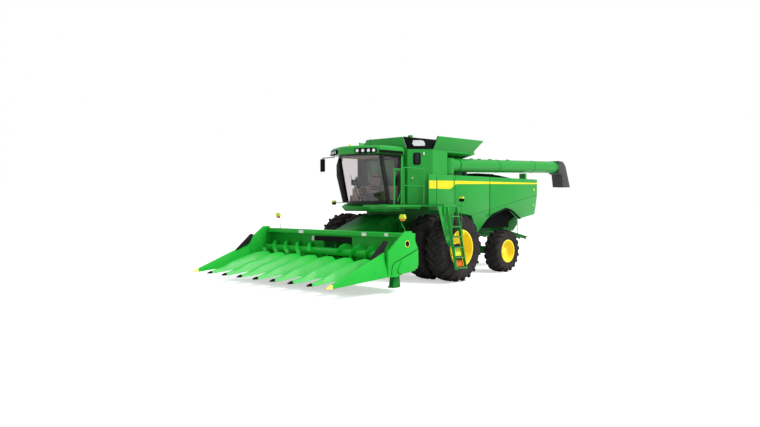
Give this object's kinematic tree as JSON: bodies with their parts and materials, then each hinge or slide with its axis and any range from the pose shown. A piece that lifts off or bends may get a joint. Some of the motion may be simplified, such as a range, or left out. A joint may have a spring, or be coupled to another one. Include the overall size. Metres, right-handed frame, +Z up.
{
  "type": "combine harvester",
  "caption": "Self-propelled combine harvester with twin front wheels, cab, grain tank, unloading auger and a row-crop header on its feeder house.",
  "frame": {"origin": "on the ground below the middle of the whole machine, from the header's noses to the stowed unloading spout", "axes": "+X forward, +Y to the machine's left, +Z up"},
  "size_m": [14.38, 6.49, 4.5271],
  "materials": {
    "green_paint": "semi-gloss paint",
    "green_panel": "glossy moulded panel",
    "yellow_paint": "gloss paint",
    "yellow_plastic": "moulded",
    "tyre": "matt rubber",
    "black_plastic": "grained",
    "rubber": "matt",
    "glass": "tinted",
    "seat_fabric": "woven",
    "chrome": "polished",
    "steel": "worn",
    "amber_lens": "clear moulding",
    "cast_iron": "as cast"
  },
  "bodies": {
    "chassis": {"main_frame": "green_paint", "front_axle": "green_paint", "rear_axle": "green_paint", "drawbar": "green_paint", "engine_block": "cast_iron", "engine_deck": "green_paint", "grain_tank": "green_paint", "tank_flaps": "green_paint", "tank_corner_panels": "black_plastic", "front_side_panels": "green_panel", "shield_rails": "black_plastic", "chopper_housing": "green_paint", "tailboard": "green_paint", "cab_frame": "black_plastic", "cab_glass": "glass", "cab_roof": "green_panel", "roof_lamps": "black_plastic", "operator_seat": "seat_fabric", "steering_column": "black_plastic", "cab_skirt": "green_paint", "platform": "green_paint", "platform_rails": "black_plastic", "auger_turret": "green_paint", "warning_lamps": "amber_lens", "mirrors": "black_plastic"},
    "front_wheels_left": {"front_tyres_left": "tyre", "front_rims_left": "yellow_paint"},
    "front_wheels_right": {"front_tyres_right": "tyre", "front_rims_right": "yellow_paint"},
    "knuckle_left": {"steering_knuckle_left": "green_paint"},
    "knuckle_right": {"steering_knuckle_right": "green_paint"},
    "rear_wheel_left": {"rear_tyre_left": "tyre", "rear_rim_left": "yellow_paint"},
    "rear_wheel_right": {"rear_tyre_right": "tyre", "rear_rim_right": "yellow_paint"},
    "feeder": {"feeder_house": "green_paint", "header_frame": "green_paint", "row_snouts": "green_panel", "snout_tips": "black_plastic", "divider_tips": "yellow_plastic", "end_shields": "green_panel", "rubber_deflectors": "rubber", "row_units": "steel", "header_skids": "steel", "header_lamps": "amber_lens"},
    "cross_auger": {"cross_auger": "steel"},
    "lift_barrels": {"lift_barrels": "steel"},
    "lift_rods": {"lift_rods": "chrome"},
    "unloading_auger": {"auger_tube": "green_paint", "auger_spout": "black_plastic"},
    "cab_door": {"cab_door": "black_plastic", "cab_door_glass": "glass"},
    "ladder": {"ladder": "green_paint"},
    "shield_front_left": {"side_shield_front_left": "green_panel"},
    "shield_front_right": {"side_shield_front_right": "green_panel"},
    "shield_rear_left": {"side_shield_rear_left": "green_panel"},
    "shield_rear_right": {"side_shield_rear_right": "green_panel"}
  },
  "joints": [
    {"name": "front_wheels_left_spin", "type": "hinge", "parent": "chassis", "child": "front_wheels_left", "pos_m": [1.42, 1.9715, 1.03], "axis": [0, 1, 0], "continuous": true},
    {"name": "front_wheels_right_spin", "type": "hinge", "parent": "chassis", "child": "front_wheels_right", "pos_m": [1.42, -1.9715, 1.03], "axis": [0, 1, 0], "continuous": true},
    {"name": "knuckle_left_steer", "type": "hinge", "parent": "chassis", "child": "knuckle_left", "pos_m": [-2.13, 1.33, 0.742], "axis": [0, 0, 1], "range_deg": [-30, 30]},
    {"name": "knuckle_right_steer", "type": "hinge", "parent": "chassis", "child": "knuckle_right", "pos_m": [-2.13, -1.33, 0.742], "axis": [0, 0, 1], "range_deg": [-30, 30]},
    {"name": "rear_wheel_left_spin", "type": "hinge", "parent": "knuckle_left", "child": "rear_wheel_left", "pos_m": [-2.13, 1.771, 0.742], "axis": [0, 1, 0], "continuous": true},
    {"name": "rear_wheel_right_spin", "type": "hinge", "parent": "knuckle_right", "child": "rear_wheel_right", "pos_m": [-2.13, -1.771, 0.742], "axis": [0, 1, 0], "continuous": true},
    {"name": "header_lift", "type": "hinge", "parent": "chassis", "child": "feeder", "pos_m": [2.18, 0, 1.9], "axis": [0, -1, 0], "range_deg": [-2.5, 18]},
    {"name": "cross_auger_spin", "type": "hinge", "parent": "feeder", "child": "cross_auger", "pos_m": [4.43, 0, 0.96], "axis": [0, 1, 0], "continuous": true},
    {"name": "lift_barrel_tilt", "type": "hinge", "parent": "chassis", "child": "lift_barrels", "pos_m": [1.76, 0, 0.99], "axis": [0, -1, 0], "range_deg": [-1.64, 11.75]},
    {"name": "lift_rod_slide", "type": "slide", "parent": "lift_barrels", "child": "lift_rods", "axis": [0.9991, 0, 0.0425], "range_m": [-0.0371, 0.2665]},
    {"name": "unloading_auger_swing", "type": "hinge", "parent": "chassis", "child": "unloading_auger", "pos_m": [0.465, 1.4, 3.65], "axis": [0, 0, -1], "range_deg": [0, 100]},
    {"name": "cab_door_swing", "type": "hinge", "parent": "chassis", "child": "cab_door", "pos_m": [2.282, 0.964, 3.17], "axis": [0, 0, 1], "range_deg": [0, 80]},
    {"name": "ladder_swing", "type": "hinge", "parent": "chassis", "child": "ladder", "pos_m": [2.38, 2.812, 1.4], "axis": [0, 0, -1], "range_deg": [0, 95]},
    {"name": "shield_front_left_lift", "type": "hinge", "parent": "chassis", "child": "shield_front_left", "pos_m": [-0.62, 1.596, 3.282], "axis": [1, 0, 0], "range_deg": [0, 70]},
    {"name": "shield_front_right_lift", "type": "hinge", "parent": "chassis", "child": "shield_front_right", "pos_m": [-0.62, -1.596, 3.282], "axis": [-1, 0, 0], "range_deg": [0, 70]},
    {"name": "shield_rear_left_lift", "type": "hinge", "parent": "chassis", "child": "shield_rear_left", "pos_m": [-3.08, 1.596, 3.282], "axis": [1, 0, 0], "range_deg": [0, 70]},
    {"name": "shield_rear_right_lift", "type": "hinge", "parent": "chassis", "child": "shield_rear_right", "pos_m": [-3.08, -1.596, 3.282], "axis": [-1, 0, 0], "range_deg": [0, 70]}
  ],
  "couplings": [
    {"joint": "knuckle_right_steer", "follows": "knuckle_left_steer", "ratio": 1},
    {"joint": "lift_barrel_tilt", "follows": "header_lift", "ratio": 0.652},
    {"joint": "lift_rod_slide", "follows": "header_lift", "m_per_rad": 0.848}
  ]
}
